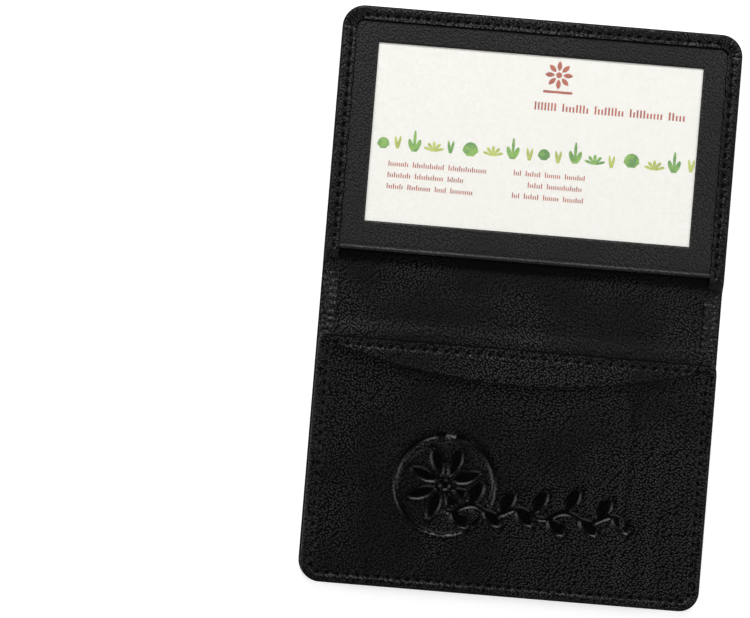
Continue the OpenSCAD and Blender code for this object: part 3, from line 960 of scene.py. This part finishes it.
pocket_wall = make_pocket_wall()
make_slip_panel()
edge_level, mouth_level = SLIP_HIGH[2] - CHANNEL, POCKET_HIGH[2] - 0.06
edge_thread = stitches("pocket_edge_stitching", pocket_row, edge_level, 1, "pocket_front", slant=0.24)
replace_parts(edge_thread, "pocket_stitching")
mouth_thread = stitches("pocket_mouth_stitching", mouth_row, mouth_level, 1, "pocket_front", slant=0.3)
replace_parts(mouth_thread, "mouth_stitching")


def make_pocket_fabric():
    """The pocket's fabric lining, stuck flat to the back of the wall."""
    low, high = span("pocket_lining")
    sheet_low, sheet_high = low[:2] + 0.05, high[:2] - 0.05
    sheet = Sheet(sheet_low, sheet_high, 5.0, 3.0, (3.0, 3.0), lambda x, y: 1.5, power=(2, 2, 8, 8))
    top = flat_at(high[2])
    points, faces = sheet.build(top, [(1.5, top), (0, top)])
    lower = lambda x, y: low[2] + 0.02 + 0.02 * waves(x, y, 12, 6)
    points, faces = thicken(points, faces, lower)
    obj = mesh_piece("pocket_fabric_lining", points, faces, pocket_fabric, "pocket_fabric", smooth=30)
    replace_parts(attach(obj, "pocket_front"), "pocket_lining")


make_pocket_fabric()


# ---------------------------------------------------------------- the gusset
def ribbon(route, thickness):
    """The closed outline of a strip that follows a route of (inset, height) points."""
    route = np.array(route, float)
    tangent = np.gradient(route, axis=0)
    tangent /= np.hypot(*tangent.T)[:, None]
    normal = np.stack([-tangent[:, 1], tangent[:, 0]], 1) * thickness / 2
    return np.concatenate([route + normal, (route - normal)[::-1]])


def gusset_route():
    """From the flange on the hem, round the edge, in to the valley and back out to the pocket's flange."""
    bottom, top = GUSSET_LOW_Z + 0.19, GUSSET_HIGH_Z - 0.19
    middle = (bottom + top) / 2
    lower = [(3.7, bottom), (2.4, bottom), (1.3, bottom + 0.02), (0.62, bottom + 0.1), (0.3, bottom + 0.38)]
    lower += [(0.55, bottom + 0.72), (1.2, bottom + 1.02)]
    for share in np.linspace(0.2, 0.92, 6):
        lower.append((1.2 + 5.6 * share, bottom + 1.02 + (middle - bottom - 1.3) * share))
    tip = [(6.72, middle - 0.14), (6.85, middle), (6.72, middle + 0.14)]
    upper = [(d, bottom + top - z) for d, z in reversed(lower)]
    return lower + tip + upper


def make_gusset():
    """The bellows round the pocket's sides and bottom, in its open shape."""
    corner = 9.0
    low, high = POCKET_LOW[:2], np.array([POCKET_HIGH[0], POCKET_HIGH[1] + corner])
    sheet = Sheet(low, high, corner, 7.5, (1.6, 1.6), lambda x, y: 0.8, power=(3.34,) * 4)
    # the band's columns, but for the open top, in order from the mouth's left end to its right one
    keep = [k for k, c in enumerate(sheet.centres)
            if c[1] < POCKET_HIGH[1] + 0.001 and sheet.reach[k][1] < 0.001]
    keep.sort(key=lambda k: (k + len(sheet.centres) // 2) % len(sheet.centres))
    at_mouth = [sheet.centres[k][1] > POCKET_HIGH[1] - 0.01 and sheet.reach[k][0] < -0.99 for k in keep]
    start = at_mouth.index(True)
    keep = keep[start:] + keep[:start]
    outline = ribbon(gusset_route(), 0.34)
    middle = (GUSSET_LOW_Z + GUSSET_HIGH_Z) / 2
    points, faces = [], []
    for d, z in outline:
        xy = (sheet.centres + sheet.reach * (corner - d))[keep]
        ripple = 0.05 * waves(xy[:, 0], xy[:, 1], 10, 9) * (abs(z - middle) < 2.2)
        points.append(np.column_stack([xy, z + ripple]))
    columns, turns = len(keep), len(outline)
    for r in range(turns):
        for k in range(columns - 1):
            a, b = r * columns + k, (r + 1) % turns * columns + k
            faces.append((a, b, b + 1, a + 1))
    faces.append(tuple(r * columns for r in reversed(range(turns))))
    faces.append(tuple(r * columns + columns - 1 for r in range(turns)))
    points = np.concatenate(points)
    obj = mesh_piece("pocket_gusset", points, faces, gusset_leather, "gusset_leather", smooth=60)
    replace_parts(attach(obj, "back"), "gusset_left", "gusset_bottom", "gusset_right")
    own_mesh(obj)


make_gusset()


# ---------------------------------------------------------------- the flap's window, card and padding
def window_inset(x, y):
    """Distance outside the window's opening, for points on the panel round it."""
    dx = np.maximum(WINDOW[0] - x, x - WINDOW[2])
    dy = np.maximum(WINDOW[1] - y, y - WINDOW[3])
    return np.hypot(np.maximum(dx, 0), np.maximum(dy, 0))


def panel_face(x, y):
    """The window panel's face, rounded down at its opening and at its turned lower edge."""
    opening = 0.13 * (1 - ramp(window_inset(x, y), 0, 0.55))
    up = y - PANEL_LOW[1]
    edge = 0.16 * (1 - ramp(up, 0, 0.4))
    bead = 0.14 * bell(up, 0.5, 0.28) - 0.1 * bell(up, 1.15, 0.35)
    return PANEL_TOP - opening - edge + bead + 0.05 * waves(x, y, 24, 3)


def make_window_panel():
    low = np.array([-HALF_W + 1.6, PANEL_LOW[1]])
    high = np.array([HALF_W - 1.6, COVER_HIGH[1] - 1.6])
    fine_x, fine_y = ([(a - 0.7, a, 0.15), (b, b + 0.7, 0.15)] for a, b in zip(WINDOW[:2], WINDOW[2:]))
    column = lambda x, y: 1.0
    sheet = Sheet(low, high, CORNER - 1.6, 2.2, (2.2, 2.2), column, fine_x, fine_y, power=(9, 9, 2, 2))
    rows = [(d, panel_face) for d in (1.8, 1.4, 1.1, 0.8, 0.55, 0.35, 0.18, 0.05, 0.0)]
    opened = lambda x, y: WINDOW[0] < x < WINDOW[2] and WINDOW[1] < y < WINDOW[3]
    points, faces = sheet.build(panel_face, rows, skip=opened)
    points, faces = compact(points, faces)
    points, faces = thicken(points, faces, flat_at(FILM_HIGH[2] - 0.04))
    obj = mesh_piece("card_window_panel", points, faces, panel_leather, "lining_leather", smooth=40)
    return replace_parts(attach(obj, "flap"), "window_panel")


def plate(name, low, high, top, thickness, cell, finish, slot, body, corner=1.0):
    """A thin plate with small round corners. top is its upper face's height as a function."""
    sheet = Sheet(low, high, corner, corner * 0.6, (cell, cell), lambda x, y: cell)
    points, faces = sheet.build(top, [(corner * 0.2, top), (0.0, top)])
    points, faces = thicken(points, faces, thickness)
    obj = mesh_piece(name, points, faces, finish, slot, smooth=35)
    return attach(obj, body)


def make_film():
    top = lambda x, y: FILM_HIGH[2] - 0.06 + 0.02 * waves(x, y, 45, 2)
    obj = plate("clear_window_film", FILM_LOW, FILM_HIGH, top, 0.12, 3.0, film_plastic, "clear_film", "flap")
    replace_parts(obj, "window_film")


def make_foam_pad():
    """The flap's pad: flat on the board, crowned towards the outer face."""
    low, high = span("flap_foam_pad")
    top = flat_at(high[2] - 0.02)
    bottom = lambda x, y: np.minimum(outer_pad(x, y), high[2] - 0.25)
    obj = plate("flap_foam", low, high, top, bottom, 3.0, foam, "foam", "flap", corner=3.0)
    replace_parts(obj, "flap_foam_pad")


def outer_pad(x, y):
    d = cover_inset(x, y)
    return 1.0 + CROWN * (1 - ramp(d, 2.4, 15) ** 0.8)


make_window_panel()
make_film()
make_foam_pad()


# ---------------------------------------------------------------- the display card
CARD_SLOT = "card_stock"
CARD_TOP = CARD_HIGH[2] - 0.03
INK_T = 0.01
card_face = flat_at(CARD_TOP)
card = plate("business_card", CARD_LOW, CARD_HIGH, card_face, 0.32, 4.0, stock, CARD_SLOT, "card", 0.4)
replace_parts(card, "display_card")


class Print:
    """Flat printed shapes on the card, gathered into one piece."""

    def __init__(self):
        self.points, self.faces = [], []

    def shape(self, outline):
        """A filled outline in a thin layer of ink, just clear of the card."""
        first = len(self.points)
        top = CARD_TOP + 0.002 + INK_T
        self.points += [(x, y, z) for z in (top, top - INK_T) for x, y in outline]
        n = len(outline)
        self.faces.append(tuple(range(first, first + n)))
        self.faces.append(tuple(reversed(range(first + n, first + 2 * n))))
        for k in range(n):
            a, b = first + k, first + (k + 1) % n
            self.faces.append((a, a + n, b + n, b))

    def bar(self, x, y, length, height):
        """A rule with round ends."""
        r = height / 2
        ends = [(x + length - r, -90), (x + r, 90)]
        outline = []
        for cx, start in ends:
            for turn in np.radians(np.arange(start, start + 181, 30)):
                outline.append((cx + r * math.cos(turn), y + r * math.sin(turn)))
        self.shape(outline)

    def disc(self, x, y, radius, sides=20):
        turns = [2 * math.pi * k / sides for k in range(sides)]
        self.shape([(x + radius * math.cos(t), y + radius * math.sin(t)) for t in turns])

    def plant(self, x, y, width, height, lobes, point):
        """A plain plant: a fan of lobes on a flat foot. A higher point makes them narrower and sharper."""
        outline = [(x + width * 0.2, y), (x - width * 0.2, y)]
        for turn in np.linspace(math.pi, 0, 8 * lobes + 1):
            reach = 0.35 + 0.65 * abs(math.sin(turn * lobes)) ** point
            across, up = width / 2 * math.cos(turn), height * math.sin(turn)
            outline.append((x + across * reach, y + 0.15 + up * reach))
        self.shape(outline[::-1])

    def leaf(self, x, y, turn, length, width):
        upper = [(s, width / 2 * math.sin(math.pi * s) ** 0.8) for s in np.linspace(0, 1, 7)]
        lower = [(s, -w) for s, w in reversed(upper[1:-1])]
        outline = [(s * length, w) for s, w in lower[::-1] + upper[::-1]]
        c, s = math.cos(turn), math.sin(turn)
        self.shape([(x + u * c - v * s, y + u * s + v * c) for u, v in outline])

    def finish(self, name, finish):
        obj = mesh_piece(name, np.array(self.points), self.faces, finish, CARD_SLOT, smooth=30)
        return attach(obj, "card")


def print_line(printed, x, y, words, height, gap):
    """One line of print that says nothing: a rank of short strokes for each word."""
    for word in words:
        count = max(2, round(word / (0.4 * height)))
        pitch = word / count
        for k in range(count):
            tall = height * (1.0 if k == 0 else 0.66 + 0.3 * (math.sin(7.3 * (x + k * pitch)) > 0.75))
            left = x + k * pitch
            wide = pitch * 0.5
            printed.shape([(left, y), (left + wide, y), (left + wide, y + tall), (left, y + tall)])
        x += word + gap


def print_rosette(printed, x, y):
    """A plain rosette over a rule."""
    for k in range(8):
        turn = math.pi / 4 * k
        printed.leaf(x + 1.1 * math.cos(turn), y + 1.1 * math.sin(turn), turn, 2.7, 1.3)
    printed.disc(x, y, 0.8)
    printed.bar(x - 4.0, y - 4.6, 8.0, 0.7)


# width, height, lobes and sharpness
PLANTS = [(4.2, 2.7, 1, 0.35), (3.0, 4.2, 3, 1.4), (1.8, 3.2, 2, 2.2), (5.4, 2.4, 5, 0.8)]
PLANT_ORDER = (0, 2, 1, 3, 2, 0, 3, 1, 2)
PLANT_Y = 82.2


def print_plants(green, olive):
    """A band of plain plants from edge to edge of the card."""
    inks = (green, olive, green, olive, green, green, olive)
    x, k = -42.6, 0
    while x < 41.5:
        width, height, lobes, point = PLANTS[PLANT_ORDER[k % len(PLANT_ORDER)]]
        size = 1.05 + 0.35 * abs(math.sin(2.1 * k))
        width, height = width * size, height * size
        y = PLANT_Y + 0.3 * math.sin(2.3 * k)
        inks[k % len(inks)].plant(x + width / 2, y, width, height, lobes, point)
        x += width + 0.4 + 0.9 * (k % 3 == 1)
        k += 1


def make_print():
    """A rosette and a title at the top right, a band of plants, and three short lines each side below."""
    brown, green, olive = Print(), Print(), Print()
    print_rosette(brown, 5.2, 105.6)
    print_line(brown, -0.7, 95.9, (6.2, 7.4, 8.2, 9.2, 4.8), 2.2, 1.3)
    line_pitch = 3.05
    for row, words in enumerate(((5.6, 8.6, 10.4), (6.4, 7.8, 4.4), (4.6, 6.4, 3.2, 6.2))):
        print_line(brown, -38.6, 77.6 - line_pitch * row, words, 1.45, 1.0)
    for row, words in enumerate(((2.2, 4.2, 4.4, 5.6), (4.2, 9.6), (2.2, 4.2, 4.4, 5.6))):
        print_line(brown, -0.8 if row == 1 else -4.8, 77.8 - line_pitch * row, words, 1.45, 1.0)
    print_plants(green, olive)
    brown.finish("card_print_brown", brown_ink)
    green.finish("card_print_green", green_ink)
    olive.finish("card_print_olive", olive_ink)


make_print()


# ---------------------------------------------------------------- CAD nodes that stay
for name in ("back_board", "flap_board"):
    materials = frame["nodes"][name].data.materials
    materials.clear()
    materials.append(board)


# ---------------------------------------------------------------- floor, light and camera
def floor_finish():
    f = Finish("floor", (0.8, 0.8, 0.8), 0.7)
    tone = f.noise(f.place(False), 90.0, 2.0)
    f.shader.inputs["Emission Color"].default_value = (1, 1, 1, 1)
    f.shader.inputs["Emission Strength"].default_value = 0.6
    return f.use(f.mix(tone, (0.79, 0.79, 0.79), (0.82, 0.82, 0.82)))


def make_floor(size=1.5):
    mesh = bpy.data.meshes.new("floor")
    corners = [(-size, -size, 0), (size, -size, 0), (size, size, 0), (-size, size, 0)]
    mesh.from_pydata(corners, [], [(0, 1, 2, 3)])
    mesh.materials.append(floor_finish())
    floor = bpy.data.objects.new("floor", mesh)
    bpy.context.scene.collection.objects.link(floor)
    floor.location.z = -0.05 * MM


def soft_light(name, azimuth, elevation, distance, size, watts):
    """An area light aimed at the middle of the case. Azimuth 0 is over the pocket half, 90 on the right."""
    lamp = bpy.data.lights.new(name, "AREA")
    lamp.shape, lamp.size, lamp.size_y, lamp.energy = "RECTANGLE", size[0], size[1], watts
    obj = bpy.data.objects.new(name, lamp)
    a, e = math.radians(azimuth), math.radians(elevation)
    back = Vector((math.sin(a) * math.cos(e), -math.cos(a) * math.cos(e), math.sin(e)))
    target = Vector((0, 0.042, 0))
    obj.location = target + back * distance
    obj.rotation_mode = "QUATERNION"
    obj.rotation_quaternion = (-back).to_track_quat("-Z", "Y")
    bpy.context.scene.collection.objects.link(obj)


def make_world(level):
    world = bpy.data.worlds.new("studio")
    world.use_nodes = True
    world.node_tree.nodes["Background"].inputs["Color"].default_value = (level, level, level, 1)
    bpy.context.scene.world = world


def make_camera():
    """Looks almost straight down on the open case, a little turned, with the case right of the middle."""
    elevation, roll, distance = math.radians(89.69), math.radians(4.74), 0.700
    aim_x, aim_y = -0.03562, 0.04197
    back = Vector((0, -math.cos(elevation), math.sin(elevation)))
    level = (-back).cross(Vector((0, 0, 1))).normalized()
    upright = level.cross(-back)
    right = level * math.cos(roll) + upright * math.sin(roll)
    up = upright * math.cos(roll) - level * math.sin(roll)
    camera = bpy.data.objects.new("camera", bpy.data.cameras.new("camera"))
    camera.data.sensor_width, camera.data.lens = 36, 124.46
    place = back * distance + right * aim_x + up * aim_y
    turn = Matrix((right, up, back)).transposed().to_4x4()
    camera.matrix_world = Matrix.Translation(place) @ turn
    bpy.context.scene.collection.objects.link(camera)
    bpy.context.scene.camera = camera


make_floor()
make_world(0.02)
soft_light("key", 185, 42, 1.1, (0.7, 0.35), 9.6)
soft_light("left", 265, 42, 1.2, (0.35, 0.8), 4.6)
soft_light("right", 95, 42, 1.2, (0.35, 0.8), 4.6)
soft_light("low", 355, 38, 1.2, (0.7, 0.4), 2.0)
make_camera()
bpy.context.scene.view_settings.view_transform = "Standard"
